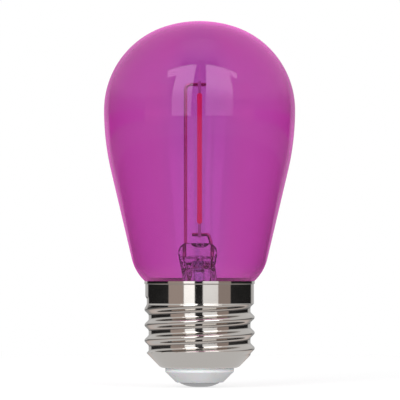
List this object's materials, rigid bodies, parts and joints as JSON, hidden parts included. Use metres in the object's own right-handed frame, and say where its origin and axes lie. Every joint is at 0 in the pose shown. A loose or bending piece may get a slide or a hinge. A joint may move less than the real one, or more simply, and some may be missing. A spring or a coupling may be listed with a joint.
{
  "type": "led filament bulb",
  "caption": "Purple clear-glass sign-shape bulb with an LED filament on stem leads and a medium screw base.",
  "frame": {"origin": "lowest point of the centre contact, on the bulb's axis", "axes": "+Z along the bulb's axis from the contact to the crown; +X across the filament's wire frame; the filament faces -Y"},
  "size_m": [0.045, 0.045, 0.086],
  "materials": {
    "purple_glass": "clear dyed glass, gloss",
    "stem_glass": "clear glass, gloss",
    "nickel_plate": "bright rolled nickel plate",
    "tinned_contact": "satin tinned button",
    "white_insulator": "moulded, semi-gloss",
    "lead_metal": "drawn nickel wire",
    "phosphor": "translucent silicone with phosphor",
    "filament_ceramic": "matte ceramic strip",
    "led_die": "polished die",
    "cement": "cured basing cement",
    "board_laminate": "white solder mask",
    "black_mould": "moulded package",
    "capacitor_sleeve": "shrunk sleeve",
    "fuse_sleeve": "lacquered body",
    "solder": "bright solder"
  },
  "bodies": {
    "root": {"glass_envelope": "purple_glass", "glass_stem": "stem_glass", "exhaust_tube": "stem_glass", "basing_cement": "cement", "screw_shell": "nickel_plate", "base_insulator": "white_insulator", "center_contact": "tinned_contact", "tall_lead_wire": "lead_metal", "short_lead_wire": "lead_metal", "outer_lead_left": "lead_metal", "outer_lead_right": "lead_metal", "filament_substrate": "filament_ceramic", "filament_lower_tab": "lead_metal", "filament_upper_tab": "lead_metal", "led_chips": "led_die", "phosphor_coat": "phosphor", "driver_board": "board_laminate", "smoothing_capacitor": "capacitor_sleeve", "capacitor_legs": "lead_metal", "fuse_resistor": "fuse_sleeve", "fuse_leads": "lead_metal", "bridge_rectifier": "black_mould", "driver_chip": "black_mould", "chip_resistors": "black_mould", "solder_joints": "solder", "shell_wire": "lead_metal"}
  },
  "joints": []
}
